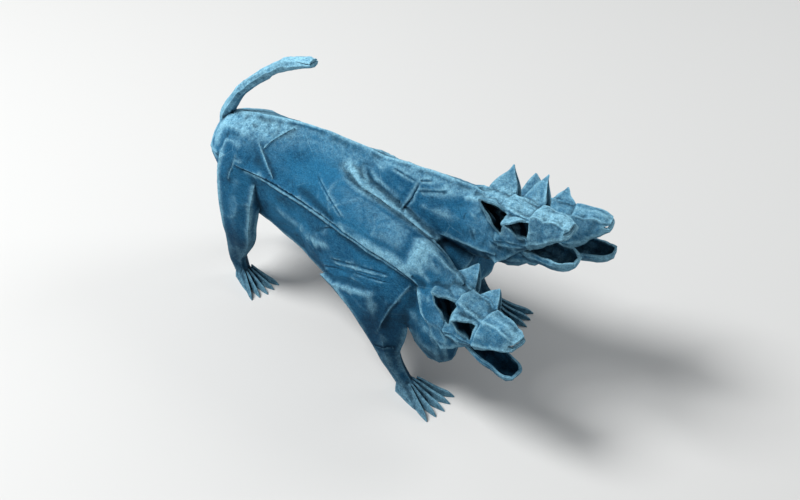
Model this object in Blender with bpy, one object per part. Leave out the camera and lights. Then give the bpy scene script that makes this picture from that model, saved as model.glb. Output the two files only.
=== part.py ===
"""Three-headed hound folded from one square of thick tissue paper.

Run with: blender --background --python part.py, or from Blender's text editor.

The whole figure is one folded sheet, so it is one solid. Its forms are lofted
section by section, the way the folds run: torso, necks, heads, legs, paws and
tail. A Boolean union makes them one body, and a Boolean difference opens the
mouths and the hollows of the curled ears and brows.

Sizes are in millimetres, +X is the way the hound looks and +Z is up.
"""

import math

import bmesh
import bpy
from mathutils import Matrix, Vector

MM = 0.001

# Torso half sections, from the rump forward to the chest. Each row is a station's
# x, then y and z of the places where the folds run along the body:
# spine z | back y, z | side y, z | lip y, z | flank y, z | belly y, z | keel z
TORSO_STATIONS = (
    (-151, 81, 5, 79, 8.5, 75, 9.5, 70, 8.5, 66, 6, 60, 61),
    (-144, 88, 8, 85, 13, 79, 14.5, 72, 13, 62, 10, 51, 52),
    (-128, 93, 11, 88, 17.5, 80, 19.5, 75, 18.5, 62, 14, 47, 46),
    (-109, 97, 11, 89, 19, 80, 21.5, 77.5, 21, 63, 17, 46, 43),
    (-84, 100.5, 11, 91.5, 20, 80.5, 24, 76.5, 25.5, 60, 21, 41, 39),
    (-60, 101, 10.5, 92, 21, 80.5, 27, 74.5, 31, 56, 27, 34, 33),
    (-37, 99, 10, 90, 22, 78, 29.5, 72, 35, 55, 30, 34, 35),
    (-18, 93, 10, 84, 22, 75, 30.8, 70.5, 34.5, 55, 28, 40, 41),
    (-8, 86, 8, 79, 19, 71, 26, 65, 28, 56, 20, 47, 45),
    (2, 76, 5, 73, 12, 67, 15, 62, 15, 56, 10, 51, 51),
)
LIP_STEP = 1.3               # how far the upper layer stands over the lower one
LIP_SLOT = 1.8               # height of the slit under its edge
RIM_HEIGHT = 2.4             # folded rim of the lower layer, seen in the slit

# Neck paths: x, y, z, half width, half height of the section.
NECK_MIDDLE = ((-78, 0, 82, 9, 10), (-56, 0, 87, 11, 12.5), (-34, 0, 87, 12.5, 15.5),
               (-12, 0, 87.5, 13.5, 17), (8, 0, 88, 13.4, 17), (17, 0, 87, 12.6, 14.5))
NECK_RIGHT = ((-92, -8, 76, 5, 8), (-79, -11.5, 79, 8, 10), (-66, -15.5, 79.4, 10.2, 11.6), (-53, -18.5, 78, 11.5, 12.4),
              (-36, -21, 77, 11.4, 11.6), (-25, -22.5, 76, 10.8, 11), (-14, -24, 74.2, 10.4, 10.8), (-4.5, -24.5, 69.5, 9.6, 10),
              (5, -24.8, 64.5, 8, 8.6))
NECK_LEFT = ((-82, 9, 74, 6, 7), (-62, 14.5, 72, 9.5, 9), (-40, 18, 69, 11.5, 11),
             (-20, 20.5, 67.5, 12, 12.5), (-2, 22.5, 69, 11.5, 14), (8, 24.5, 70, 9.5, 13))
NECK_RIDGE = 0.35            # how far the necks narrow towards the fold along their top

# Heads: origin at the top back of the skull, turned to the left and tipped up, in
# degrees, the lower jaw's drop, and the throat's (x, z, half width, half height).
HEADS = {
    "middle": dict(at=(0, 0, 104.5), yaw=0, pitch=7, gape=7, throat=(
        (-12, -24, 8, 11), (2, -23, 9.5, 12), (16, -24, 9, 10.5), (25, -24.5, 7, 6.5), (29, -25, 4.5, 4))),
    "right": dict(at=(-1, -27, 73), yaw=-9, pitch=-5, gape=13, throat=(
        (-14, -24, 8, 13), (-7, -30, 9.5, 17), (2, -33, 9.5, 18.5), (8, -35, 8, 15), (11.5, -36, 5, 10))),
    "left": dict(at=(2, 23, 86.5), yaw=16, pitch=5, gape=7, throat=(
        (-12, -20, 8, 10), (2, -19, 9, 10), (16, -20, 8, 8), (24, -21, 6, 5))),
}

# Head half sections from the back of the skull to the nose, each a station's x and
# its slant, then: top z | top y, z | side y, z | cheek y, z | lower y, z | bottom z
SKULL_STATIONS = (
    (-11, 0.60, -2, 5, -3, 9, -8, 11, -17, 9, -24, -25),
    (-3, 0.45, -0.5, 5.5, -1.5, 9.5, -7, 12, -18, 11, -27, -28),
    (8, 0.20, 0, 5.5, -1.2, 9.5, -8, 12.2, -18, 11.5, -28.5, -29),
    (16, 0, -0.6, 5, -1.8, 9, -8.5, 12, -18, 11, -27, -27.5),
    (23, 0, -1.6, 4.8, -2.8, 8.5, -8.5, 11, -17, 9, -21, -21.5),
    (29, 0, -3.2, 4.4, -4.2, 7.5, -9, 9, -15, 7, -17.3, -17.6),
)
SNOUT_STATIONS = (
    (12.5, 0, -2.5, 4, -3.5, 8, -9, 10.5, -14.5, 9, -17, -17),
    (14.5, 0, 0.2, 5.6, -1, 9.7, -7.8, 11.9, -15.5, 9.5, -18, -18),
    (29.0, 0, -2.2, 4.9, -3.2, 8.2, -8.6, 9.6, -14, 8, -17.5, -17.5),
    (29.9, 0, -1.0, 5.4, -2.1, 8.9, -8.2, 10.2, -14, 8, -18.1, -18.1),
    (38, 0, -1.3, 4.6, -2.6, 7, -7.2, 8, -11, 6.5, -13.5, -13.5),
    (44.5, 0, -2, 4, -3, 5.6, -6, 6.2, -8.5, 5.4, -9.7, -10),
    (47.5, 0, -3.2, 3, -3.9, 4.4, -5.8, 4.8, -7.6, 4, -8.6, -8.8),
)
PALATE_STATIONS = (
    (23, 0, -14, 2, -14.4, 5, -15.5, 6.4, -17, 6.4, -19.4, -19.4),
    (31, 0, -6, 3, -6.5, 6.4, -9, 7.6, -14, 7.6, -19.6, -19.6),
    (38, 0, -4, 3, -4.4, 5.4, -7.4, 6.4, -11, 7.6, -19.6, -19.6),
    (46.2, 0, -5, 1.6, -5.3, 3, -6.4, 3.8, -8.6, 6, -19.6, -19.6),
)
NOSE_STATIONS = (            # the open end of the snout, a slot under its top fold
    (41.2, 0, -4.9, 1.5, -4.95, 2.4, -5.2, 2.4, -5.6, 1.6, -5.8, -5.9),
    (49, 0, -4.15, 4, -4.5, 7.4, -5.2, 7.6, -6.3, 5, -7, -7.1),
)
JAW_LENGTH = 32.0
JAW_HINGE = (17.5, -18.6)
JAW_SECTIONS = (             # share of the length, half width, depth, rise of the rim
    (-0.05, 5.5, 5, 0), (0.35, 7.2, 7.2, 0), (0.78, 6.6, 6.8, 0.2), (0.93, 5.2, 5.4, 0.8), (1.0, 3.4, 3.2, 1.2),
)
HOOD_BEND = 0.72             # below 1, the ears' and brows' creases curve in towards their tips
PAPER = 0.9                  # thickness of the folded layers at a free edge
WELD = 0.02                  # points closer than this become one

# Curled ears and brows in the head's frame: foot of the crease, tip, then the two
# feet of the open front, the inner one and the outer one.
HOODS = {
    "middle": {
        "ear_right": ((1, -2.5, -1.5), (10, -15.5, 8), (17.5, -5, -2), (15, -12.8, -8)),
        "ear_left": ((1, 1.5, -1.2), (9.2, 15.5, 7.8), (15.8, 4.5, -2.5), (15.8, 10, -6)),
        "brow_right": ((17, -5, -4.5), (20.5, -14.5, -2.5), (28, -5.5, -3), (27.5, -11.5, -11)),
        "brow_left": ((16.5, 4.5, -4), (27.2, 15, 8.2), (31, 4.6, -3), (30, 9, -7)),
    },
    "right": {
        "ear_right": ((1, -3.5, -2), (6.5, -14.5, 4), (15, -4, -1.6), (13.5, -12.4, -10)),
        "ear_left": ((1, 2, -1.2), (9, 15.5, 5), (15.5, 4.5, -2.5), (15.5, 10, -7)),
        "brow_right": ((15.5, -6, -6), (19, -14.2, -4), (26, -6, -4), (25, -11.5, -12.5)),
        "brow_left": ((17, 4.5, -3), (24.5, 11.5, 3), (30, 4.8, -3), (29, 8.5, -7)),
    },
    "left": {
        "ear_right": ((1, -2, -1.2), (9, -13.5, 4), (15.5, -5, -3), (15.5, -10.5, -7)),
        "ear_left": ((1, 2, -1.2), (9, 14.5, 6), (15.5, 4.5, -2.5), (15.5, 10, -7)),
        "brow_right": ((17, -4.5, -3), (24, -10.5, 1), (29, -4.8, -3), (28, -8.5, -7)),
        "brow_left": ((17, 4.5, -3), (24.5, 10.5, 3), (30, 4.8, -3), (29, 8.5, -7)),
    },
}

# Legs: each row is the fold's back x, z and front x, z, its y, and half thickness.
FRONT_LEG = (
    (-52, 52, -26, 62, -21, 6),
    (-62, 46, -14, 62, -27.5, 7),
    (-69, 42, -12, 58, -30, 7),
    (-60, 39, -12, 50, -31.5, 7),
    (-51, 34, -13.5, 42, -32.5, 6.2),
    (-42, 27, -15, 32, -33.5, 5.2),
    (-32, 19, -18, 22, -34.5, 4.4),
    (-26.5, 12, -15.5, 14.5, -35, 3.9),
    (-20, 5, -10, 8, -35, 3.6),
    (-17, 1, -6, 2.5, -35, 3.2),
)
FRONT_SECTION = ((0, 0), (0.22, 0.85), (0.62, 1), (1, 0.15), (0.7, -0.9), (0.25, -0.8))
HIND_LEG = (
    (-139, 84, -127, 88, -4, 4),
    (-141.5, 81, -117, 85.5, -8, 7.2),
    (-143.5, 75, -110.5, 79.5, -11.5, 9),
    (-144, 66, -111, 69, -13.8, 9),
    (-142, 55, -114, 53, -16.5, 8),
    (-140, 43, -116, 40, -18, 6.8),
    (-138.5, 33, -116.5, 32, -18.5, 5.8),
    (-137, 22, -120.5, 24, -18.5, 4.8),
    (-136.5, 13, -127, 15, -17.5, 4),
    (-134.5, 5, -125.5, 7, -17, 3.6),
    (-133, 1, -122, 2, -17, 3.2),
)
HIND_SECTION = ((0, 0), (0.18, 0.8), (0.55, 1), (0.92, 0.85), (1, 0.2), (0.7, -0.9), (0.25, -0.8))
FAR_HIND_STEP = (4.0, 7.0)   # the left hind paw stands this much further forward and out
# Paws: wrist x, y and heading in degrees, palm sections of x, half width and height,
# and toe sections of share of the toe, half width, underside and top.
FRONT_WRIST = (-14.0, 34.5, 3)
HIND_WRIST = (-129.0, 17.0, 12)
HIND_PAW_SHARE = 0.84        # the hind paws' length and width as a share of the front ones'
PAW_LENGTH = 14.0
PALM_SECTIONS = ((-0.28, 4.2, 9), (0.1, 5.6, 8), (0.5, 7.4, 5.2), (0.86, 8.0, 3.0))
TOE_LENGTH = 21.0
TOE_SPREAD = 6.4             # the outer toes' distance from the middle one at the knuckles
TOE_COUNT = 5
TOE_FAN = 24.0               # degrees to either side
TOE_SECTIONS = ((-0.46, 1.0, 3, 8.9), (-0.22, 1.25, 2, 6.9), (0, 1.45, 0.6, 4.6), (0.22, 1.35, 0.3, 3.6),
                (0.36, 1.1, 0.4, 3.0), (0.46, 0.75, 0, 1.9), (0.53, 0.25, 0, 0.5))

# Tail: x, z, half width, half height along the arch.
TAIL = (
    (-141, 72, 4, 4), (-148, 77, 4.2, 4.6), (-148.5, 83, 3.6, 4), (-145, 91, 3.3, 3.5), (-138.5, 101, 3, 3.2),
    (-129, 111, 2.9, 3.1), (-118.5, 121, 2.9, 3.1), (-107, 129, 2.9, 3.4), (-98, 133.2, 2.8, 3.9), (-91.5, 135, 2, 3.2),
)
TAIL_SLIT = 8.0              # how deep the slit runs into the tip


# Folded edges on the near, right side: how far each edge stands up, whether the left
# side has it too, then rows of a point on the edge and a point under its own layer.
FOLDS = {
    "thigh_pleat": (0.8, True, (
        (-126, -6.4, 90.2, -129, -8.4, 88.9), (-113.8, -14.1, 85.2, -117.1, -15.5, 83.5),
        (-107.1, -18.1, 81.1, -110.3, -19.7, 79.5), (-101.5, -21.8, 78.4, -104.8, -21.8, 77.6))),
    "hip_crease": (0.5, True, (
        (-113, -13.6, 85.9, -116.4, -12.3, 87.1), (-110.6, -10.6, 89, -114.4, -8.6, 90),
        (-106.3, -5.5, 93.3, -110.2, -3.7, 94.1), (-102.4, -1.9, 96.3, -106.2, -0.6, 97))),
    "slit_rim": (0.5, False, (
        (-63.2, -27.2, 72.8, -61, -26.9, 77.7), (-50.6, -28.6, 71.5, -47.3, -29.7, 77.9),
        (-38.4, -29.9, 70.7, -34.9, -31.3, 77.4), (-25.3, -31, 69.8, -21.8, -32.4, 76.5),
        (-12.7, -33.7, 70.8, -11, -33.1, 75.4))),
    "shoulder_pleat_upper": (0.45, True, (
        (-68.5, -28.8, 49.5, -67, -28.5, 44.8), (-58, -31, 54.4, -58, -30.5, 49.3),
        (-42.3, -32.5, 59.6, -40.8, -33.6, 55), (-25.5, -32.3, 63.1, -24.2, -33.4, 58.3))),
    "shoulder_pleat": (0.6, True, (
        (-68, -28.4, 46, -65.5, -28.8, 42.5), (-58.8, -30.4, 50.6, -56.3, -32, 47.4),
        (-41.7, -33.4, 57.4, -39.9, -34.1, 53.6), (-23.9, -33.2, 61.4, -22, -33.8, 57.8))),
    "shoulder_flap": (0.9, True, (
        (-14.8, -30.5, 63, -18.5, -31.7, 64.1), (-18.4, -34.1, 56.3, -23.2, -34.4, 55.8),
        (-22.4, -35.8, 48.6, -26.7, -36.7, 48.9), (-25.4, -37.7, 40.5, -29.9, -38.6, 40.5),
        (-28.8, -38.3, 32, -33.9, -38.1, 31))),
    "forearm_top": (0.4, True, (
        (-30.2, -38.4, 23.4, -29, -38.4, 19.4), (-24.4, -38.9, 25.2, -23.6, -38.9, 20.9),
        (-20.2, -36.8, 26.2, -19.3, -36.1, 21.8))),
    "flank_crease": (0.4, False, (
        (-78.6, -15.9, 86.6, -82.3, -16.6, 84.8), (-65.8, -23.4, 84.3, -70.1, -23.2, 81.6),
        (-55.3, -28.2, 80.1, -60.1, -27.3, 76.9))),
    "flank_lower_crease": (0.4, True, (
        (-89.5, -21.8, 49.3, -88.5, -23.4, 55.1), (-72.9, -26.5, 64, -73.8, -25.9, 67.5),
        (-62, -27.2, 71.6, -62.6, -26.6, 73.2))),
    "neck_fold": (0.4, False, (
        (-27.9, -5.9, 99.2, -32, -6.3, 98.2), (-29.3, -10, 93.2, -33.4, -10.4, 92.1),
        (-32.1, -13.5, 85.8, -36, -14.2, 86.4))),
    "neck_upper_fold": (0.35, False, (
        (-43.6, -4.1, 99, -44.4, -1.4, 100.3), (-36.7, -5.1, 99.3, -37.5, -2.5, 100.7),
        (-30.2, -5.8, 99.2, -30.8, -3.4, 100.9))),
    "buttock_fold": (0.5, True, (
        (-126.6, -19.6, 78.2, -122.5, -19.1, 79.1), (-127.6, -21.2, 72.8, -123.2, -21.1, 74.1),
        (-129.7, -22.5, 65.4, -124.9, -22.8, 67.1))),
}
FOLD_DEPTH = 1.2             # how far a folded layer is rooted in the one below it
FOLD_SINK = 0.45             # how far its back has sunk where it has become one with it


def new_object(name, bm, collection):
    """Closes a bmesh into an object whose faces point out, in metres."""
    bmesh.ops.recalc_face_normals(bm, faces=bm.faces)
    bm.transform(Matrix.Scale(MM, 4))
    mesh = bpy.data.meshes.new(name)
    bm.to_mesh(mesh)
    bm.free()
    obj = bpy.data.objects.new(name, mesh)
    collection.objects.link(obj)
    return obj


def loft(name, rings, collection):
    """Skins closed rings of equal point count and caps both ends with a fan."""
    bm = bmesh.new()
    rows = [[bm.verts.new(point) for point in ring] for ring in rings]
    count = len(rows[0])
    for near, far in zip(rows, rows[1:]):
        for i in range(count):
            j = (i + 1) % count
            bm.faces.new((near[i], near[j], far[j], far[i]))
    for row in (rows[0], rows[-1]):
        middle = bm.verts.new(sum((v.co for v in row), Vector()) / count)
        for i in range(count):
            bm.faces.new((row[i], row[(i + 1) % count], middle))
    return new_object(name, bm, collection)


def mirrored(half):
    """A closed ring from a half outline that starts and ends on the middle plane."""
    return list(half) + [Vector((p.x, -p.y, p.z)) for p in reversed(half[1:-1])]


def torso_ring(x, spine, back_y, back_z, side_y, side_z, lip_y, lip_z,
               flank_y, flank_z, belly_y, belly_z, keel):
    half = [
        (x, 0, spine),
        (x, -back_y, back_z),
        (x, -side_y, side_z),
        (x, -lip_y - LIP_STEP, lip_z),
        (x, -lip_y + LIP_STEP, lip_z - LIP_SLOT * 0.4),
        (x, -lip_y - LIP_STEP * 0.5, lip_z - LIP_SLOT),
        (x, -lip_y - LIP_STEP * 0.2, lip_z - LIP_SLOT - RIM_HEIGHT),
        (x, -flank_y, flank_z),
        (x, -belly_y, belly_z),
        (x, 0, keel),
    ]
    return mirrored([Vector(p) for p in half])


def torso(collection):
    return loft("torso", [torso_ring(*row) for row in TORSO_STATIONS], collection)


def oval_ring(centre, along, up, half_width, half_height, sides=10, ridge=0.0):
    """A ring of points across a direction: an oval, drawn in towards a fold along its top."""
    along = Vector(along).normalized()
    across = along.cross(Vector(up)).normalized()
    rise = across.cross(along)
    points = []
    for i in range(sides):
        angle = 2 * math.pi * i / sides
        width = half_width * (1 - ridge * max(0.0, math.cos(angle)))
        points.append(Vector(centre) + rise * math.cos(angle) * half_height
                      + across * math.sin(angle) * width)
    return points


def tube(name, path, collection, up=(0, 0, 1), sides=10, ridge=0.0):
    """A loft along a path of (x, y, z, half width, half height)."""
    centres = [Vector(p[:3]) for p in path]
    rings = []
    for i, p in enumerate(path):
        along = centres[min(i + 1, len(path) - 1)] - centres[max(i - 1, 0)]
        rings.append(oval_ring(centres[i], along, up, p[3], p[4], sides, ridge))
    return loft(name, rings, collection)


def head_ring(x, slant, top, top_y, top_z, side_y, side_z, cheek_y, cheek_z, lower_y, lower_z, bottom):
    half = [(0, top), (top_y, top_z), (side_y, side_z), (cheek_y, cheek_z), (lower_y, lower_z), (0, bottom)]
    return mirrored([Vector((x - slant * z, -y, z)) for y, z in half])


def placed(rings, frame):
    return [[frame @ Vector(p) for p in ring] for ring in rings]


def jaw_rings(gape, wall):
    """The lower jaw is a trough, open above; the cutter inside it is one wall smaller."""
    turn = Matrix.Translation((JAW_HINGE[0], 0, JAW_HINGE[1])) @ Matrix.Rotation(math.radians(gape), 4, "Y")
    rings = []
    for share, half_width, depth, rise in JAW_SECTIONS:
        x = share * JAW_LENGTH
        if wall:
            x = max(share, 0.12) * (JAW_LENGTH - wall)
        w, d = half_width - wall, depth - wall
        top = rise + (2 if wall else 0)
        half = [(x, 0, top), (x, -w, top), (x, -w, rise - d * 0.3), (x, -w * 0.6, rise - d * 0.88), (x, 0, rise - d)]
        rings.append([turn @ p for p in mirrored([Vector(p) for p in half])])
    return rings


def hood_rings(crease, tip, inner, outer, wall):
    """A cone of paper, creased behind and open in front; the cutter is one wall smaller."""
    crease, tip, inner, outer = Vector(crease), Vector(tip), Vector(inner), Vector(outer)
    front = ((inner + outer) / 2 - crease).normalized()
    depth = (crease + inner + outer) / 3 - tip
    rings = []
    for share in (-0.55, 0.05, 0.5, 0.8) if wall else (-0.3, 0.1, 0.5, 0.94):
        c, i, o = (p.lerp(tip, max(share, 0)) + depth * max(-share, 0) for p in (crease, inner, outer))
        if share > 0:
            c = crease.lerp(tip, share ** HOOD_BEND)
        size = (o - i).length / 2
        side = (i - o).normalized()
        inward = min(wall, size * 0.7)
        c = c + front * wall
        i = i - side * inward + front * wall * 2
        o = o + side * inward + front * wall * 2
        bulge = 0.22 * size
        ring = [i, (c + i) / 2 + side * bulge, c, (c + o) / 2 - side * bulge, o]
        rings.append(ring)
    return rings


def head(name, layers, cutters, at, yaw, pitch, gape, throat):
    """One head in its own frame, then turned and set on its neck."""
    frame = (Matrix.Translation(at) @ Matrix.Rotation(math.radians(yaw), 4, "Z")
             @ Matrix.Rotation(math.radians(-pitch), 4, "Y"))
    loft(name + "_skull", placed([head_ring(*row) for row in SKULL_STATIONS], frame), layers)
    loft(name + "_snout", placed([head_ring(*row) for row in SNOUT_STATIONS], frame), layers)
    loft(name + "_jaw", placed(jaw_rings(gape, 0), frame), layers)
    lobe = [oval_ring((x, 0, z), (1, 0, 0), (0, 0, 1), w, h) for x, z, w, h in throat]
    loft(name + "_throat", placed(lobe, frame), layers)
    loft(name + "_palate", placed([head_ring(*row) for row in PALATE_STATIONS], frame), cutters)
    loft(name + "_nose", placed([head_ring(*row) for row in NOSE_STATIONS], frame), cutters)
    loft(name + "_jaw_hollow", placed(jaw_rings(gape, PAPER), frame), cutters)
    for kind, points in HOODS[name].items():
        loft(f"{name}_{kind}", placed(hood_rings(*points, 0), frame), layers)
        loft(f"{name}_{kind}_hollow", placed(hood_rings(*points, PAPER), frame), cutters)


def folded_edge(name, height, rows, side, collection):
    """A layer whose edge stands over the one below and sinks into it behind the edge."""
    edges = [Vector((r[0], -side * r[1], r[2])) for r in rows]
    backs = [Vector((r[3], -side * r[4], r[5])) for r in rows]
    rings = []
    for i, (edge, back) in enumerate(zip(edges, backs)):
        along = edges[min(i + 1, len(edges) - 1)] - edges[max(i - 1, 0)]
        out = (back - edge).cross(along).normalized()
        if out.dot(edge - Vector((edge.x, 0, edge.z * 0.5))) < 0:
            out.negate()
        rise = height * (0.4 if i in (0, len(rows) - 1) else 1)
        rings.append([edge + out * rise, edge - out * FOLD_DEPTH, back - out * FOLD_DEPTH, back - out * FOLD_SINK])
    return loft(name, rings, collection)


def leg(name, rows, section, side, step, collection):
    """A flattened sleeve of folded layers with a sharp back and front fold."""
    rings = []
    top = max(row[1] for row in rows)
    for back_x, back_z, front_x, front_z, y, half in rows:
        lean = 1 - back_z / top
        back = Vector((back_x + step[0] * lean, 0, back_z))
        front = Vector((front_x + step[0] * lean, 0, front_z))
        y -= step[1] * lean
        ring = []
        for share, out in section:
            point = back.lerp(front, share)
            ring.append(Vector((point.x, side * (-y + out * half), point.z)))
        rings.append(ring)
    return loft(name, rings, collection)


def paw(name, wrist, heading, scale, collection):
    """A flat palm with long folded toes from wrist to claw, standing on the ground."""
    turn = (Matrix.Translation((wrist[0], wrist[1], 0)) @ Matrix.Rotation(math.radians(heading), 4, "Z")
            @ Matrix.Diagonal((scale, scale, 1, 1)))
    rings = []
    for share, half, high in PALM_SECTIONS:
        x = share * PAW_LENGTH
        outline = ((-half, 0), (half, 0), (half * 0.95, high * 0.45), (half * 0.45, high), (-half * 0.45, high),
                   (-half * 0.95, high * 0.45))
        rings.append([turn @ Vector((x, y, z)) for y, z in outline])
    loft(name + "_palm", rings, collection)
    for k in range(TOE_COUNT):
        across = k / (TOE_COUNT - 1) * 2 - 1
        knuckle = Matrix.Translation((PAW_LENGTH * 0.8, across * TOE_SPREAD, 0))
        frame = turn @ knuckle @ Matrix.Rotation(math.radians(across * TOE_FAN), 4, "Z")
        length = TOE_LENGTH * (1 - 0.12 * abs(across))
        rings = []
        for share, half, low, high in TOE_SECTIONS:
            x = share * length
            outline = ((-half, low), (half, low), (half * 0.5, high), (-half * 0.5, high))
            rings.append([frame @ Vector((x, y, z)) for y, z in outline])
        loft(f"{name}_toe_{k + 1}", rings, collection)


def tail(layers, cutters):
    """An arched roll of paper, slit where its two layers part at the tip."""
    tube("tail", [(x, 0, z, w, h) for x, z, w, h in TAIL], layers, up=(0, 1, 0), sides=8)
    x, z, half_width, half_height = TAIL[-1]
    start = (x - TAIL_SLIT, 0, z - 0.6, half_width * 3, 0.15)
    tube("tail_slit", (start, (x + 1, 0, z + 0.4, half_width * 3, 0.6)), cutters, sides=6)


def paper():
    """Matt blue tissue paper, mottled from pale cyan to deep blue."""
    material = bpy.data.materials.new("blue_tissue_paper")
    material.use_nodes = True
    shader = material.node_tree.nodes["Principled BSDF"]
    shader.inputs["Base Color"].default_value = (0.098, 0.314, 0.474, 1)
    shader.inputs["Roughness"].default_value = 0.85
    shader.inputs["Metallic"].default_value = 0.0
    return material


def joined(name, layers, cutters):
    """The one folded sheet: every layer united, then the hollows cut."""
    sheet = bpy.data.objects["torso"]
    layers.objects.unlink(sheet)
    body = bpy.data.collections.new(name)
    bpy.context.scene.collection.children.link(body)
    body.objects.link(sheet)
    sheet.name = name
    for label, operation, collection in (("layers folded together", "UNION", layers), ("hollows", "DIFFERENCE", cutters)):
        modifier = sheet.modifiers.new(label, "BOOLEAN")
        modifier.operation = operation
        modifier.operand_type = "COLLECTION"
        modifier.collection = collection
        modifier.solver = "EXACT"
    for collection in (layers, cutters):
        for obj in collection.objects:
            obj.hide_render = True
            obj.display_type = "WIRE"
    return sheet


def drop_pairs(bm):
    """Takes out faces that lie back to back on the same points, and the edges they leave bare."""
    found = {}
    pairs = set()
    for face in bm.faces:
        points = frozenset(face.verts)
        if points in found:
            pairs.update((face, found[points]))
        found[points] = face
    bmesh.ops.delete(bm, geom=list(pairs), context="FACES")
    bmesh.ops.delete(bm, geom=[edge for edge in bm.edges if edge.is_wire], context="EDGES")


def based(sheet):
    """Bakes the folds and stands the sheet on the ground, centred on its own footprint."""
    graph = bpy.context.evaluated_depsgraph_get()
    bm = bmesh.new()
    bm.from_object(sheet, graph)
    bmesh.ops.triangulate(bm, faces=bm.faces)
    for distance in (0, WELD * MM):
        bmesh.ops.remove_doubles(bm, verts=bm.verts, dist=distance)
        bmesh.ops.dissolve_degenerate(bm, edges=bm.edges, dist=distance)
        drop_pairs(bm)
    low = Vector([min(v.co[i] for v in bm.verts) for i in range(3)])
    high = Vector([max(v.co[i] for v in bm.verts) for i in range(3)])
    middle = (low + high) / 2
    shift = Vector((-middle.x, -middle.y, -low.z))
    bm.transform(Matrix.Translation(shift))
    sheet.modifiers.clear()
    bm.to_mesh(sheet.data)
    bm.free()
    return shift


def main():
    for obj in list(bpy.data.objects):
        bpy.data.objects.remove(obj)
    layers = bpy.data.collections.new("layers")
    cutters = bpy.data.collections.new("cutters")
    for collection in (layers, cutters):
        bpy.context.scene.collection.children.link(collection)
    torso(layers)
    for name, path in (("neck_middle", NECK_MIDDLE), ("neck_right", NECK_RIGHT), ("neck_left", NECK_LEFT)):
        tube(name, path, layers, ridge=NECK_RIDGE)
    for name, pose in HEADS.items():
        head(name, layers, cutters, **pose)
    for side, word in ((-1, "right"), (1, "left")):
        step = FAR_HIND_STEP if side > 0 else (0, 0)
        leg("front_leg_" + word, FRONT_LEG, FRONT_SECTION, side, (0, 0), layers)
        leg("hind_leg_" + word, HIND_LEG, HIND_SECTION, side, step, layers)
        for paw_name, (x, y, heading), (ahead, out), scale in (
            ("front_paw_", FRONT_WRIST, (0, 0), 1),
            ("hind_paw_", HIND_WRIST, step, HIND_PAW_SHARE),
        ):
            paw(paw_name + word, (x + ahead, side * y + out), side * heading, scale, layers)
    tail(layers, cutters)
    for name, (height, both, rows) in FOLDS.items():
        folded_edge(name, height, rows, -1, layers)
        if both:
            folded_edge(name + "_left", height, rows, 1, layers)
    sheet = joined("folded_hound", layers, cutters)
    sheet.data.materials.append(paper())
    return based(sheet)


SHIFT = main()
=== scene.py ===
# %% [markdown]
# # A three-headed hound folded from blue tissue paper
#
# The real figure is one square of soft tissue, folded flat, then opened and shaped by
# hand. This lesson starts from its imported CAD solid, which has every large form: the
# torso, three necks and heads, four legs with split toes, and the raised tail. Here the
# sheet gets soft panels between crisp folds, creases left from folding, a pale tone along
# the ridges that is partly rubbed dye and partly painted highlight, painted shade in the
# valleys, and fibres.
#
# The first cell loads the CAD model as a fixed frame.

# %% Load the frame
import math

import bmesh
import bpy
import numpy as np
from mathutils import Matrix, Vector, noise
from mathutils.bvhtree import BVHTree


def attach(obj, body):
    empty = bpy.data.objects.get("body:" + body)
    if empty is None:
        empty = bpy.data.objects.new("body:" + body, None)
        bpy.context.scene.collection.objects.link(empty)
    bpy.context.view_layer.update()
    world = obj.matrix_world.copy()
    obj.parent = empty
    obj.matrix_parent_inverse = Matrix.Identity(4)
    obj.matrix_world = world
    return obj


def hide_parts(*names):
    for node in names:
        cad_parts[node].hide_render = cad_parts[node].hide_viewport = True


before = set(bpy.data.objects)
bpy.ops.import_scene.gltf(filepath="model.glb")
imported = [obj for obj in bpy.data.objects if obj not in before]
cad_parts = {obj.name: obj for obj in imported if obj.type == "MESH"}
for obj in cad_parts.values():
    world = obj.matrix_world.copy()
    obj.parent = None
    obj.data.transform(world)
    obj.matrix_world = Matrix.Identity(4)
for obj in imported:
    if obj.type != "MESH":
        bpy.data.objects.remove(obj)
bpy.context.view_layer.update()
MM = 0.001

# %% [markdown]
# ## The camera
#
# The photograph looks down on the figure from its right front, through a long lens, so
# the heads stay nearly as small as the rump. The angles, the distance and the point on
# the ground below the chest were measured from the photograph's outline. The camera is
# built from three directions: right, up and forward.

# %% Place the camera
PICTURE = (800, 500)
AZIMUTH, ELEVATION = math.radians(36), math.radians(40)
DISTANCE = 750 * MM
LENS, SENSOR = 70.0, 36.0
GROUND_POINT = Vector((49.99 * MM, 0, 0))
GROUND_PIXEL = (472.5, 361.0)


def photo_camera():
    """A camera that shows the ground point at the same pixel as the photograph."""
    right = Vector((math.cos(AZIMUTH), math.sin(AZIMUTH), 0))
    forward = Vector((-math.sin(AZIMUTH) * math.cos(ELEVATION), math.cos(AZIMUTH) * math.cos(ELEVATION),
                      -math.sin(ELEVATION)))
    up = right.cross(forward)
    pixels = LENS / SENSOR * PICTURE[0]
    across = (GROUND_PIXEL[0] - PICTURE[0] / 2) / pixels * DISTANCE
    rise = -(GROUND_PIXEL[1] - PICTURE[1] / 2) / pixels * DISTANCE
    place = GROUND_POINT - across * right - rise * up - DISTANCE * forward
    data = bpy.data.cameras.new("photo_camera")
    data.lens = LENS
    data.sensor_width = SENSOR
    data.clip_start = 0.01
    camera = bpy.data.objects.new("photo_camera", data)
    bpy.context.scene.collection.objects.link(camera)
    turn = Matrix((right, up, -forward)).transposed()
    camera.matrix_world = Matrix.Translation(place) @ turn.to_4x4()
    bpy.context.scene.camera = camera
    return camera


camera = photo_camera()
print("camera at", [round(v, 3) for v in camera.matrix_world.translation])

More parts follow.
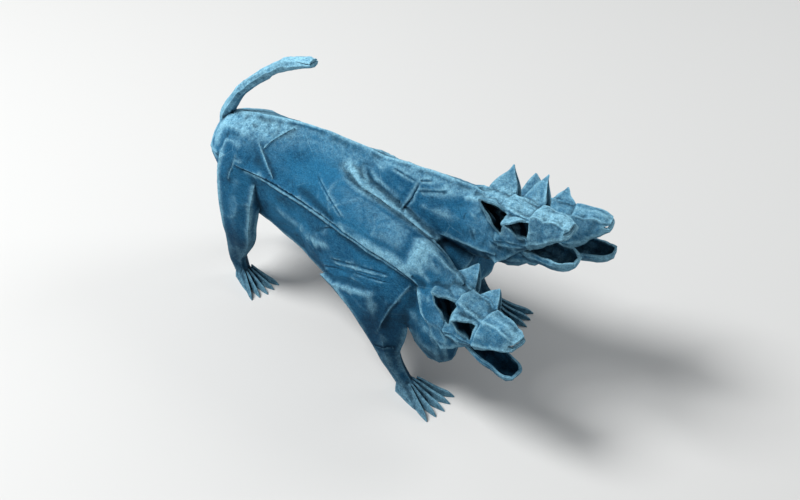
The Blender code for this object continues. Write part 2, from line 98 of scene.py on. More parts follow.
# %% [markdown]
# ## Floor and light
#
# A pale seamless floor, one broad soft lamp high on the viewer's left, a weak one across
# from it, and an even pale sky. The strong lamp is large, so the folds get soft shading
# and the figure keeps a gentle shadow under its belly. The weak one lifts the edges that
# face away from the strong one.

# %% Build the studio
FLOOR_SIZE = 6.0
FLOOR_COLOUR = (0.65, 0.65, 0.64, 1)
SKY_COLOUR = (0.80, 0.84, 0.88, 1)
SKY_STRENGTH = 0.31
LAMP_SIZE = 0.5
LAMP_TARGET = Vector((0, 0, 0.06))
KEY_PLACE, KEY_WATTS = (-0.55, -0.35, 0.95), 15
EDGE_PLACE, EDGE_WATTS = (0.5, 0.7, 0.7), 3


def plain_floor():
    bm = bmesh.new()
    bmesh.ops.create_grid(bm, x_segments=1, y_segments=1, size=FLOOR_SIZE / 2)
    mesh = bpy.data.meshes.new("studio_floor")
    bm.to_mesh(mesh)
    bm.free()
    floor = bpy.data.objects.new("studio_floor", mesh)
    bpy.context.scene.collection.objects.link(floor)
    material = bpy.data.materials.new("pale_floor")
    material.use_nodes = True
    shader = material.node_tree.nodes["Principled BSDF"]
    shader.inputs["Base Color"].default_value = FLOOR_COLOUR
    shader.inputs["Roughness"].default_value = 0.9
    shader.inputs["Specular IOR Level"].default_value = 0.1
    mesh.materials.append(material)
    return floor


def soft_lamp(name, place, watts):
    """A round area lamp that is turned to the middle of the figure."""
    data = bpy.data.lights.new(name, "AREA")
    data.shape = "DISK"
    data.size = LAMP_SIZE
    data.energy = watts
    lamp = bpy.data.objects.new(name, data)
    bpy.context.scene.collection.objects.link(lamp)
    aim = (LAMP_TARGET - Vector(place)).to_track_quat("-Z", "Y")
    lamp.matrix_world = Matrix.Translation(Vector(place)) @ aim.to_matrix().to_4x4()
    return lamp


def even_sky():
    world = bpy.data.worlds.new("even_sky")
    world.use_nodes = True
    background = world.node_tree.nodes["Background"]
    background.inputs["Color"].default_value = SKY_COLOUR
    background.inputs["Strength"].default_value = SKY_STRENGTH
    bpy.context.scene.world = world


plain_floor()
even_sky()
soft_lamp("key_lamp", KEY_PLACE, KEY_WATTS)
soft_lamp("edge_lamp", EDGE_PLACE, EDGE_WATTS)
bpy.context.scene.view_settings.view_transform = "Standard"

# %% [markdown]
# ## Pressed folds
#
# Some folds are only pressed into a panel: the long sharp ridge that runs into each outer
# neck, the dip beside it, and the lines where a layer below shows through. Each is a line
# of points on the surface, measured from the photograph and counted in millimetres from
# the ground point below the chest. A ridge rises like a small tent and a valley is the
# same, turned down. The left side of the figure is hidden in the photograph, and gets the
# same folds.

# %% List the pressed folds of the body
RIDGE, VALLEY = 1, -1
SLIT = ((-109, -22.3, 77), (-84, -25.3, 76), (-60, -28.3, 74), (-37, -30.8, 71.5), (-18, -32, 70),
        (-8, -27.2, 64.4))
PRESSED = (                  # kind, height and half width in mm, on both sides, points
    (RIDGE, 1.5, 2.6, True, ((-66, -9, 93.5), (-58.9, -11.1, 91.3), (-53.2, -12.6, 89.3),
                             (-47, -13.3, 88), (-38.7, -13.9, 86.4), (-30.7, -14.1, 84.6),
                             (-22.5, -14.8, 82), (-15.9, -15, 79.4), (-8, -18, 76), (2, -21, 73))),
    (VALLEY, 1.2, 2.0, True, ((-56, -7.5, 94.5), (-52, -9.6, 91.8), (-43, -10.4, 89.5),
                              (-34, -10.6, 87.5), (-25, -10.8, 85), (-16, -11.5, 81))),
    (RIDGE, 0.5, 1.6, False, ((-144, 0, 88), (-128, 0, 93), (-109, 0, 97), (-84, 0, 100.5),
                              (-60, 0, 101), (-37, 0, 102), (-12, 0, 104.5), (6, 0, 105))),
    (VALLEY, 0.8, 0.9, True, ((-27.9, -5.9, 99.2), (-29.3, -10, 93.2), (-32.1, -13.5, 85.8))),
    (VALLEY, 0.5, 0.8, True, ((-43.6, -4.1, 99), (-36.7, -5.1, 99.3), (-30.2, -5.8, 99.2))),
    (VALLEY, 0.6, 1.0, True, ((-28, -5, 99.6), (-22, -3.5, 101.5))),
    (VALLEY, 0.5, 0.9, True, ((-27, -8, 96), (-13, -6, 100.5))),
    (RIDGE, 0.35, 0.8, True, ((-126.6, -19.6, 78.2), (-127.6, -21.2, 72.8), (-129.7, -22.5, 65.4))),
    (RIDGE, 0.4, 0.8, True, ((-113, -13.6, 85.9), (-110.6, -10.6, 89), (-106.3, -5.5, 93.3),
                             (-102.4, -1.9, 96.3))),
    (RIDGE, 0.45, 0.9, True, ((-126, -6.4, 90.2), (-113.8, -14.1, 85.2), (-107.1, -18.1, 81.1),
                              (-101.5, -21.8, 78.4))),
    (VALLEY, 1.0, 0.9, True, SLIT),
    (RIDGE, 0.55, 1.0, True, tuple((x, y + 0.3, z - 1.9) for x, y, z in SLIT)),
    (VALLEY, 0.45, 0.8, True, ((-66, -27.5, 53), (-58, -31, 56), (-42.3, -32.5, 61),
                               (-25.5, -32.3, 64.5))),
    (RIDGE, 0.4, 0.9, True, ((-58, -31, 54.4), (-42.3, -32.5, 59.6), (-25.5, -32.3, 63.1))),
    (VALLEY, 0.4, 0.8, True, ((-68, -28.4, 46), (-58.8, -30.4, 51.4), (-41.7, -33.4, 57.4),
                              (-23.9, -33.2, 61))),
    (RIDGE, 0.45, 0.9, True, ((-14.8, -30.5, 63), (-18.4, -34.1, 56.3), (-22.4, -35.8, 48.6),
                              (-25.4, -37.7, 40.5), (-28.8, -38.3, 32))),
    (VALLEY, 0.4, 0.8, True, ((-30.2, -38.4, 23.4), (-24.4, -38.9, 25.2), (-20.2, -36.8, 26.2))),
    (VALLEY, 0.35, 0.8, True, ((-78.6, -15.9, 86.6), (-65.8, -23.4, 84.3), (-55.3, -28.2, 80.1))),
    (VALLEY, 0.35, 0.8, True, ((-89.5, -21.8, 49.3), (-72.9, -26.5, 64), (-62, -27.2, 71.6))),
)
print(len(PRESSED), "pressed folds on the body")

# %% [markdown]
# ## The folds of a head
#
# Every head has the same few folds on each cheek, jaw and neck, so they are listed once,
# in the head's own frame. Each head is then placed by the top back of its skull, turned
# to its side and tipped, and its folds are carried along.

# %% Place the folds of the heads
HEADS = (                    # top back of each skull in mm, turned to the left, tipped up
    ((0, 0, 104.5), 0, 7),
    ((-1, -27, 73), -9, -5),
    ((2, 23, 86.5), 16, 5),
)
HEAD_FOLDS = (               # the same as above, always on both sides, in a head's own frame
    (VALLEY, 0.6, 0.9, ((5, -12.4, -12), (12, -12.4, -16), (19, -11.6, -20.5))),
    (VALLEY, 0.5, 0.9, ((27, -10.4, -14.5), (22, -11.4, -15.5), (15.5, -12.1, -14))),
    (RIDGE, 0.5, 0.9, ((30.6, -6.2, -2), (34.5, -9, -7), (39, -8, -10.5))),
    (VALLEY, 0.4, 0.8, ((30.2, -5.4, -1.4), (30.4, -9.6, -6), (30.2, -10, -13))),
    (RIDGE, 0.45, 1.0, ((3, -5.2, -1), (16, -5, -1.7), (29, -5, -3))),
    (RIDGE, 0.4, 0.9, ((31, -5.2, -2), (38, -4.6, -2.2), (46, -3.4, -3.6))),
    (VALLEY, 0.5, 0.9, ((-6, -9.5, -5), (2, -12, -11), (4, -12.3, -19))),
)


def pressed_lines():
    """Every pressed fold as kind, height, half width and points in metres, left ones too."""
    for at, yaw, pitch in HEADS:
        frame_of_head = (Matrix.Translation(at) @ Matrix.Rotation(math.radians(yaw), 4, "Z")
                         @ Matrix.Rotation(math.radians(-pitch), 4, "Y"))
        for kind, rise, half, rows in HEAD_FOLDS:
            for side in (1, -1):
                turned = [frame_of_head @ Vector((x, y * side, z)) for x, y, z in rows]
                yield kind, rise, half, np.array(turned) * MM + np.array(GROUND_POINT)
    for kind, rise, half, both, rows in PRESSED:
        for side in ((1, -1) if both else (1,)):
            line = np.array([(x, y * side, z) for x, y, z in rows]) * MM + np.array(GROUND_POINT)
            yield kind, rise, half, line


print(sum(1 for _ in pressed_lines()), "pressed folds with the heads and the hidden side")

# %% [markdown]
# ## How near a fold is
#
# Pressing a fold, choosing the weave and rubbing off the dye all ask how far a point is
# from a line. The nearest place on each straight stretch is found, and the closest of
# them wins. It also tells how far along the line that place is.

# %% Measure the distance to a fold
def place_on_line(points, line):
    """How far each point is from a line, and how far along it, from 0 at its start to 1 at its end."""
    nearest = np.full(len(points), 1e9)
    along_line = np.zeros(len(points))
    lengths = np.linalg.norm(np.diff(line, axis=0), axis=1)
    begins = np.concatenate(([0], np.cumsum(lengths))) / lengths.sum()
    for a, b, first, last in zip(line, line[1:], begins, begins[1:]):
        along = b - a
        share = np.clip(((points - a) @ along) / (along @ along), 0, 1)
        distance = np.linalg.norm(points - (a + share[:, None] * along), axis=1)
        closer = distance < nearest
        nearest = np.where(closer, distance, nearest)
        along_line = np.where(closer, first + (last - first) * share, along_line)
    return nearest, along_line


def distance_to_line(points, line):
    return place_on_line(points, line)[0]


def distance_to_folds(points):
    return np.min([distance_to_line(points, line) for *_, line in pressed_lines()], axis=0)


below_chest = distance_to_folds(np.array([GROUND_POINT]))[0]
print("from the ground point to the nearest fold:", round(float(below_chest / MM), 1), "mm")

# %% [markdown]
# ## A tidy copy of the solid
#
# The CAD solid was joined by Boolean steps, and these leave doubled points, tiny edges
# and flat faces cut into many. In the copy, doubled points are welded, flat neighbours
# are merged and the tiniest edges are closed. Its sharp edges are remembered as folds,
# because paper stays crisp there.

# %% Tidy a copy of the CAD solid
FOLD_ANGLE = math.radians(27)
TUCK_ANGLE = math.radians(70)
FLAT_ANGLE = math.radians(0.6)
WELD = 0.004 * MM
STUB = 0.16 * MM


def collapse_stubs(bm, shortest):
    """Closes edges that are too short, where that keeps the surface whole."""
    closed = 0
    stubs = [e for e in bm.edges if e.calc_length() < shortest]
    for edge in sorted(stubs, key=lambda e: e.calc_length()):
        if not edge.is_valid:
            continue
        a, b = edge.verts
        near_a = {e.other_vert(a) for e in a.link_edges}
        near_b = {e.other_vert(b) for e in b.link_edges}
        if len(near_a & near_b) == 2:
            bmesh.ops.pointmerge(bm, verts=[a, b], merge_co=(a.co + b.co) / 2)
            closed += 1
    return closed


def fold_edges(bm):
    """A sharp edge that stands out is a fold. One that lies in is kept only where it is very sharp."""
    count = 0
    for edge in bm.edges:
        angle = edge.calc_face_angle_signed(0) if edge.is_manifold else 0
        edge.seam = angle > FOLD_ANGLE or angle < -TUCK_ANGLE
        count += edge.seam
    return count


def open_edges(bm):
    return sum(not e.is_manifold for e in bm.edges)


bm = bmesh.new()
bm.from_mesh(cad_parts["folded_hound"].data)
bmesh.ops.remove_doubles(bm, verts=bm.verts, dist=WELD)
bmesh.ops.dissolve_limit(bm, angle_limit=FLAT_ANGLE, verts=bm.verts, edges=bm.edges)
bmesh.ops.triangulate(bm, faces=bm.faces)
stubs = collapse_stubs(bm, STUB)
folds = fold_edges(bm)
print("CAD copy:", len(bm.faces), "faces,", stubs, "stubs closed,", folds, "fold edges,",
      open_edges(bm), "open edges")

# %% [markdown]
# ## A fine weave of points
#
# The solid's long thin triangles suit its flat lofts, but they are too coarse to
# crumple. Long edges are halved again and again until every panel has a fine, even
# weave of points. Heads, toes and tail get a finer weave than the body, a pressed fold
# gets the finest, and the hidden underside the coarsest.

# %% Halve the long edges
WEAVE = 1.36 * MM
UNDERSIDE_WEAVE = 1.7        # these five are shares of the body's weave
HEAD_WEAVE = 0.72
TOE_WEAVE = 0.72
TAIL_WEAVE = 0.8
FOLD_WEAVE = 0.5
FACES_DOWN = -0.35           # a normal's upward part, below which a face is on the underside
NEAR_FOLD = 1.7 * MM
TOO_LONG = 1.35              # an edge is halved when it is this many times as long as wanted


def weave_size(middle, normal_z):
    """The wanted length of an edge at each place, in metres."""
    x, y, z = middle.T
    size = np.full(len(middle), WEAVE)
    size[normal_z < FACES_DOWN] *= UNDERSIDE_WEAVE
    size[(x > 44 * MM) & (z > 22 * MM)] *= HEAD_WEAVE
    size[z < 11 * MM] *= TOE_WEAVE
    size[(x < -38 * MM) & (z > 101 * MM)] *= TAIL_WEAVE
    size[distance_to_folds(middle) < NEAR_FOLD] *= FOLD_WEAVE
    return size


def refine(bm):
    """Halves long edges, the very long ones first, so that the triangles stay well shaped."""
    for share in (16, 8, 4, 2, 1):
        edges = list(bm.edges)
        ends = np.array([[v.co for v in e.verts] for e in edges])
        lift = np.array([sum(f.normal.z for f in e.link_faces) / max(1, len(e.link_faces)) for e in edges])
        length = np.linalg.norm(ends[:, 0] - ends[:, 1], axis=1)
        wanted = weave_size(ends.mean(axis=1), lift) * share * TOO_LONG
        split = [edges[i] for i in np.nonzero(length > wanted)[0]]
        if not split:
            continue
        bmesh.ops.subdivide_edges(bm, edges=split, cuts=1)
        bmesh.ops.triangulate(bm, faces=[f for f in bm.faces if len(f.verts) > 3])
        bm.normal_update()


def drop_doubled(bm):
    """Takes out two faces that lie back to back on the same points."""
    seen, doubled = {}, []
    for face in bm.faces:
        corners = frozenset(face.verts)
        if corners in seen:
            doubled += [face, seen[corners]]
        seen[corners] = face
    bmesh.ops.delete(bm, geom=list(set(doubled)), context="FACES")
    return len(doubled)


refine(bm)
doubled = drop_doubled(bm)
print("refined:", len(bm.faces), "faces,", doubled, "doubled faces taken out,",
      open_edges(bm), "open edges")

# %% [markdown]
# ## Soft panels between crisp folds
#
# Between two folds, a sheet is one smooth curved panel. Each point is moved towards
# the middle of its neighbours a few times. A point on a fold listens only to its two
# neighbours on that fold, and a point where folds meet stays put, so the folds stay
# crisp. In this step no point may move far from where the CAD solid has it.

# %% Relax the panels
RELAX_ROUNDS = 14
FARTHEST = 0.9 * MM
HEAD_FARTHEST = 0.35 * MM


def as_arrays(bm):
    """The points, the two points of each edge, and which edges are folds."""
    bm.verts.index_update()
    points = np.array([v.co for v in bm.verts])
    pairs = np.array([[v.index for v in e.verts] for e in bm.edges])
    fold = np.array([e.seam for e in bm.edges])
    return points, pairs, fold


def neighbour_mean(values, pairs, count):
    """The mean value of each point's neighbours."""
    total = np.zeros_like(values)
    for axis in range(values.shape[1]):
        total[:, axis] = (np.bincount(pairs[:, 0], values[pairs[:, 1], axis], count)
                          + np.bincount(pairs[:, 1], values[pairs[:, 0], axis], count))
    number = np.bincount(pairs.ravel(), minlength=count)
    return total / np.maximum(number, 1)[:, None]


def relax(points, pairs, fold, rounds, strength=0.5):
    """Moves each point towards the middle of its neighbours, and folds only along themselves."""
    count = len(points)
    fold_count = np.bincount(pairs[fold].ravel(), minlength=count)
    corner = (fold_count == 1) | (fold_count > 2)
    on_fold = fold_count == 2
    for _ in range(rounds):
        middle = neighbour_mean(points, pairs, count)
        along = neighbour_mean(points, pairs[fold], count)
        target = np.where(on_fold[:, None], along, middle)
        share = np.where(corner, 0, np.where(on_fold, strength * 0.5, strength))[:, None]
        points = points + (target - points) * share
    return points


def normals_of(bm, points):
    """Moves the mesh to these points, and gives its new normals."""
    for vert, point in zip(bm.verts, points):
        vert.co = point
    bm.normal_update()
    return np.array([v.normal for v in bm.verts])


def smooth_step(values, low, high):
    """0 up to the low value, 1 from the high value on, and a soft rise between them."""
    share = np.clip((values - low) / (high - low), 0, 1)
    return share * share * (3 - 2 * share)


points, pairs, fold = as_arrays(bm)
start = points.copy()
points = relax(points, pairs, fold, RELAX_ROUNDS)
moved = points - start
far = np.linalg.norm(moved, axis=1)
on_head = smooth_step(start[:, 0] / MM, 44, 54)
allowed = FARTHEST + (HEAD_FARTHEST - FARTHEST) * on_head
points = start + moved * np.minimum(1, allowed / np.maximum(far, 1e-9))[:, None]
print("relaxed", len(points), "points, moved at most",
      round(float(np.linalg.norm(points - start, axis=1).max() / MM), 2), "mm")

# %% [markdown]
# ## Necks that run into the shoulders
#
# Above the long slit, each outer neck runs into its shoulder in one soft sweep, and the
# solid has small ledges there in place of thin folds. The same relaxing without any
# fold, and over many more rounds, drapes the sheet over them. Further down, the pressed
# folds of the foreleg take the place of ledges in the same way.

# %% Drape the necks
DRAPE_ROUNDS = 70
LOOSE = (-20 * MM, 36 * MM)  # from and to, along the body, where pressed folds take the place of ledges


def drape_share(points):
    """1 where a neck runs into the shoulders without a fold, and beside the loose pleats."""
    x, y, z = points.T / MM
    inner = 6.5 + 6.5 * smooth_step(x, -25, 5)
    outward = smooth_step(np.abs(y) - inner, 0, 6)
    above_slit = smooth_step(z - (76.5 - 0.066 * (x + 34)), 1.5, 6)
    neck = outward * above_slit * smooth_step(x, -56, -46) * smooth_step(-x, -38, -30)
    pleats = np.zeros(len(points))
    for *_, line in pressed_lines():
        on_side = abs(line[0, 1]) > 3 * MM
        if on_side and LOOSE[0] <= line[:, 0].min() and line[:, 0].max() < LOOSE[1]:
            pleats = np.maximum(pleats, smooth_step(-distance_to_line(points, line) / MM, -7, -3))
    pleats *= smooth_step(z, 40, 48)
    return np.maximum(neck, pleats * smooth_step(np.abs(y), 2, 6))


draped = relax(points, pairs, np.zeros(len(fold), bool), DRAPE_ROUNDS)
points += (draped - points) * drape_share(points)[:, None]
normals = normals_of(bm, points)
print("draped, moved at most", round(float(np.linalg.norm(points - start, axis=1).max() / MM), 2),
      "mm from the solid")

# %% [markdown]
# ## Press the folds
#
# A point at a line's middle moves by the full height along its normal, and one at the
# line's half width doesn't move, so each line becomes a small tent or a small trough.
# Towards both ends the height fades, down to about a quarter at the very end.

# %% Press the folds
FADE = (-0.06, 0.12)         # the fade's two ends, as shares of a line's length from its end


def press(points):
    """Height of the pressed folds at each point, in metres."""
    height = np.zeros(len(points))
    for kind, rise, half, line in pressed_lines():
        distance, along = place_on_line(points, line)
        fade = smooth_step(np.minimum(along, 1 - along), *FADE)
        height += kind * rise * MM * fade * np.maximum(0, 1 - distance / (half * MM)) ** 1.2
    return height


pressed = press(points)
points = points + normals * pressed[:, None]
normals = normals_of(bm, points)
print("pressed up to", round(float(pressed.max() / MM), 2), "and down to",
      round(float(pressed.min() / MM), 2), "mm")

# %% [markdown]
# ## Crumpled paper
#
# Tissue that has been folded keeps faint straight creases where it was folded before.
# A cell pattern in space gives them: every cell is a small facet, and where two cells
# meet there is a low ridge or a shallow valley. A slow swell makes the panels uneven.
# Thin layers, such as ears and jaws, have to bend as one, with both faces moving the same
# way. They follow a field that gives each place a direction, creased where it turns back.

# %% Crumple the surface
CREASE_SIZE = 15 * MM
CREASE_HEIGHT = 0.24 * MM
CREASE_REACH = 0.085         # how far a crease reaches into a cell, in cell sizes
WAVER, WAVER_SIZE = 0.35, 1.3  # how far a crease wavers, and how slowly, in cell sizes
SWELL_SIZE = 22 * MM
SWELL_HEIGHT = 0.35 * MM
BODY_BEND, BODY_BEND_SIZE = 0.9 * MM, 17 * MM
HEAD_BEND, HEAD_BEND_SIZE = 1.7 * MM, 9 * MM
TAIL_BEND = 1.3 * MM
BEND_MEAN = 0.25             # taken off, so that the sheet bends to and fro and isn't carried away
LEFT_ON_FOLD = 0.35          # share of the crumple that a fold keeps
CALM_ON_HEAD = 0.8           # share of it that a head loses
SEED = 7                     # without a seed, the field would differ from run to run


def crumple(points):
    """Height of the crumple at each point, in metres."""
    height = np.zeros(len(points))
    for i, point in enumerate(points):
        p = Vector(point)
        bent = p / CREASE_SIZE + noise.noise_vector(p / (CREASE_SIZE * WAVER_SIZE)) * WAVER
        distance, _cells = noise.voronoi(bent, distance_metric="DISTANCE")
        gap = distance[1] - distance[0]
        sign = 1.0 if noise.cell(bent * 0.5) > 0.5 else -1.0
        crease = max(0.0, 1 - gap / CREASE_REACH)
        swell = noise.noise(p / SWELL_SIZE)
        height[i] = sign * crease * CREASE_HEIGHT + swell * SWELL_HEIGHT
    return height


def bend(points):
    """How far each point is carried by the crumpled layers, in metres."""
    x, y, z = points.T / MM
    head = smooth_step(x, 42, 56) * smooth_step(z, 30, 44)
    tail = smooth_step(-x, 38, 50) * smooth_step(z, 99, 108)
    amount = np.maximum(BODY_BEND, np.maximum(HEAD_BEND * head, TAIL_BEND * tail))
    amount *= smooth_step(z, 0.5, 12)
    carried = np.zeros(points.shape)
    for i, point in enumerate(points):
        thin = head[i] > 0.5 or tail[i] > 0.5
        field = noise.noise_vector(Vector(point) / (HEAD_BEND_SIZE if thin else BODY_BEND_SIZE))
        carried[i] = [abs(v) - BEND_MEAN for v in field]
    return carried * amount[:, None]


noise.seed_set(SEED)
smooth_points, smooth_normals = points, normals
height = crumple(points)
fold_near = np.bincount(pairs[fold].ravel(), minlength=len(points)) > 0
height[fold_near] *= LEFT_ON_FOLD
height *= 1 - CALM_ON_HEAD * smooth_step(points[:, 0] / MM, 42, 56)
carried = bend(points)
points = points + normals * height[:, None] + carried
points[:, 2] = np.maximum(points[:, 2], 0)
normals = normals_of(bm, points)
print("crumpled by", round(float(np.abs(height).max() / MM), 2), "mm and carried by",
      round(float(np.linalg.norm(carried, axis=1).max() / MM), 2), "mm at most")

# %% [markdown]
# ## Pale ridges and painted shade in the valleys
#
# Every ridge gets a paler tone, partly rubbed dye and partly painted highlight, and every
# valley gets painted shade. Both are read from the shape itself: a point that stands above
# the mean of its surroundings is a ridge, and one that lies below it is a valley. Most of
# it is read before the crumple, so the folds count for more than the wrinkles. On the
# draped necks the painted highlight and shade are weaker.

# %% Measure ridges and valleys
FINE_ROUNDS, BROAD_ROUNDS = 3, 14
CRUMPLE_SHARE = 0.35         # how much the wrinkles count beside the folds
FINE_RIDGE, BROAD_RIDGE = (0.045, 0.15), (0.45, 1.4)    # mm from which one shows, and is full
FINE_VALLEY, BROAD_VALLEY = (0.02, 0.10), (0.4, 1.3)
EVEN_RIDGE, EVEN_VALLEY = 0.55, 0.7    # shares of their mark that are lost on a draped neck


def convexity(points, normals, pairs, rounds):
    """How far each point stands above its surroundings, in metres."""
    mean = points
    for _ in range(rounds):
        mean = neighbour_mean(mean, pairs, len(points))
    return ((points - mean) * normals).sum(axis=1)


def smoothed(values, pairs):
    """Each value, mixed half and half with the mean of its neighbours."""
    values = values[:, None]
    return ((values + neighbour_mean(values, pairs, len(values))) / 2)[:, 0]


fine = (convexity(smooth_points, smooth_normals, pairs, FINE_ROUNDS)
        + CRUMPLE_SHARE * convexity(points, normals, pairs, FINE_ROUNDS))
broad = convexity(smooth_points, smooth_normals, pairs, BROAD_ROUNDS)
ridge = smooth_step(fine / MM, *FINE_RIDGE) * 0.85 + smooth_step(broad / MM, *BROAD_RIDGE) * 0.2
valley = smooth_step(-fine / MM, *FINE_VALLEY) * 0.9 + smooth_step(-broad / MM, *BROAD_VALLEY) * 0.25
# Painted highlight and painted shade are weaker on the draped necks.
less_highlight_and_shade = drape_share(smooth_points) * smooth_step(distance_to_folds(smooth_points) / MM, 2.5, 6)
ridge = smoothed(np.clip(ridge, 0, 1) * (1 - EVEN_RIDGE * less_highlight_and_shade), pairs)
valley = smoothed(np.clip(valley, 0, 1) * (1 - EVEN_VALLEY * less_highlight_and_shade), pairs)
print("ridge mean", round(float(ridge.mean()), 3), "valley mean", round(float(valley.mean()), 3))

# %% [markdown]
# ## Hollows
#
# Painted shade also goes where the sheet closes over a point: in an ear, a mouth or a
# pocket. Short rays are sent out from each point, spread evenly over a dome. The share of
# them that meets the sheet again tells how far into a hollow the point is.

# %% Measure the hollows
RAYS = 14
RAY_REACH = 9 * MM


def ray_dome():
    """Directions spread evenly over a dome, by the golden angle."""
    golden = math.pi * (3 - math.sqrt(5))
    dome = []
    for k in range(RAYS):
        up = (k + 0.7) / RAYS
        out = math.sqrt(1 - up * up)
        dome.append(Vector((math.cos(golden * k) * out, math.sin(golden * k) * out, up)))
    return dome


def hollow_depth(bm, points, normals):
    """Share of the rays that meet the sheet. Each starts 0.1 mm above its point."""
    tree = BVHTree.FromBMesh(bm)
    dome = ray_dome()
    shut = np.zeros(len(points))
    for i, (point, normal) in enumerate(zip(points, normals)):
        n = Vector(normal)
        turn = n.to_track_quat("Z", "Y")
        origin = Vector(point) + n * 0.1 * MM
        shut[i] = sum(tree.ray_cast(origin, turn @ ray, RAY_REACH)[0] is not None for ray in dome)
    return shut / RAYS


# The hollow measure is used only to paint shade into ears, mouths and pockets.
hollow = smoothed(hollow_depth(bm, points, normals), pairs)
print("hollow mean", round(float(hollow.mean()), 3))

# %% [markdown]
# ## Worn and lit places, and painted shade
#
# The tissue is paler on the heads, the tail and the paws, where fingers shaped it. Faces
# that look up, on the back, the rump and the heads, also get painted light, and a band
# beside each main neck ridge gets a painted highlight. Painted shade goes on the lower
# legs, on faces that look down and under the necks. These slow changes follow the body,
# so they are worked out from each point's place and from the way that it faces. Each soft
# step below runs between two places in millimetres, or between two tilts.

# %% Map the worn and lit places and the painted shade
# Worn tone on heads, tail and paws; painted light on faces that look up; a painted highlight beside the main
# neck ridge.
WORN_AND_LIT_HEADS, WORN_TAIL, LIT_BACK = 0.46, 0.75, 0.55
LIT_RUMP, WORN_PAWS, NECK_HIGHLIGHT = 0.45, 0.35, 0.75
# Painted shade on the lower legs, under the figure and at the throat.
SHADE_ON_LEGS, SHADE_UNDER, SHADE_ON_THROAT = 0.85, 0.8, 0.6


def worn_and_lit_places(points, normals):
    """How much paler each point is, 0 to 1: worn tone, painted light on faces that look up, and a painted
    highlight beside the neck ridges.
    """
    x, y, z = points.T / MM
    upward = smooth_step(normals[:, 2], 0.15, 0.8)
    heads = smooth_step(x, 44, 62) * smooth_step(z, 40, 56) * (0.40 + 0.75 * upward)
    root = smooth_step(-x, 88, 95) * smooth_step(z, 74, 86)
    tail = smooth_step(-x, 38, 44) * smooth_step(z, 98, 106) + root
    # Painted light where the back, the rump and the tops of the heads face up.
    back = smooth_step(normals[:, 2], 0.55, 0.95) * smooth_step(-np.abs(y), -13, -4) * smooth_step(z, 80, 90)
    rump = smooth_step(-x, 46, 66) * smooth_step(normals[:, 2], 0.45, 0.9) * smooth_step(z, 80, 88)
    paws = smooth_step(-z, -11, -4)
    # A painted highlight in a band beside each main neck ridge.
    neck = np.zeros(len(points))
    for kind, rise, _half, line in pressed_lines():
        if kind == RIDGE and rise >= 1:
            neck = np.maximum(neck, smooth_step(-distance_to_line(points, line) / MM, -6, -0.8))
    worn_and_lit = heads * WORN_AND_LIT_HEADS + tail * WORN_TAIL + back * LIT_BACK
    return np.clip(worn_and_lit + rump * LIT_RUMP + paws * WORN_PAWS + neck * NECK_HIGHLIGHT, 0, 1)


def painted_shade_places(points, normals):
    """How much painted shade each point gets, 0 to 1: on the lower legs, on faces that look down and at the
    throat.
    """
    x, _y, z = points.T / MM
    legs = smooth_step(-z, -58, -22)
    under = smooth_step(-normals[:, 2], -0.1, 0.7)
    throat = smooth_step(x, 4, 22) * smooth_step(-x, -50, -38) * smooth_step(-z, -66, -44)
    return np.clip(legs * SHADE_ON_LEGS + under * SHADE_UNDER + throat * SHADE_ON_THROAT, 0, 1)


worn_and_lit = worn_and_lit_places(points, normals)
painted_shade = painted_shade_places(points, normals)
print("worn mean", round(float(worn_and_lit.mean()), 3), "deep mean", round(float(painted_shade.mean()), 3))

# %% [markdown]
# ## The sheet as an object
#
# The points and faces become one mesh. Shading is smooth over the panels and breaks at
# the folds. The five measures go with the mesh as named attributes, one number to each
# point, so the finish can read them and no picture has to be painted.

# %% Make the sheet object
def write_sheet(bm, attributes):
    for face in bm.faces:
        face.smooth = True
    for edge in bm.edges:
        edge.smooth = not edge.seam
        edge.seam = False
    mesh = bpy.data.meshes.new("tissue_hound")
    bm.to_mesh(mesh)
    bm.free()
    for name, values in attributes.items():
        layer = mesh.attributes.new(name, "FLOAT", "POINT")
        layer.data.foreach_set("value", values.astype(np.float32))
    sheet = bpy.data.objects.new("tissue_hound", mesh)
    bpy.context.scene.collection.objects.link(sheet)
    return sheet


sheet = write_sheet(bm, {"ridge": ridge, "valley": valley, "hollow": hollow, "worn_and_lit": worn_and_lit, "painted_shade": painted_shade})
print("sheet has", len(sheet.data.polygons), "triangles")

# %% [markdown]
# ## A finish made of nodes
#
# The tissue has no picture on it. Its colour is worked out at every place from noise, and
# from the five measures, by a tree of small nodes. A few short words make such a tree
# readable, each adding one node and giving back its output. Places are counted in
# millimetres, so that a noise of scale 1 changes about once in every millimetre.

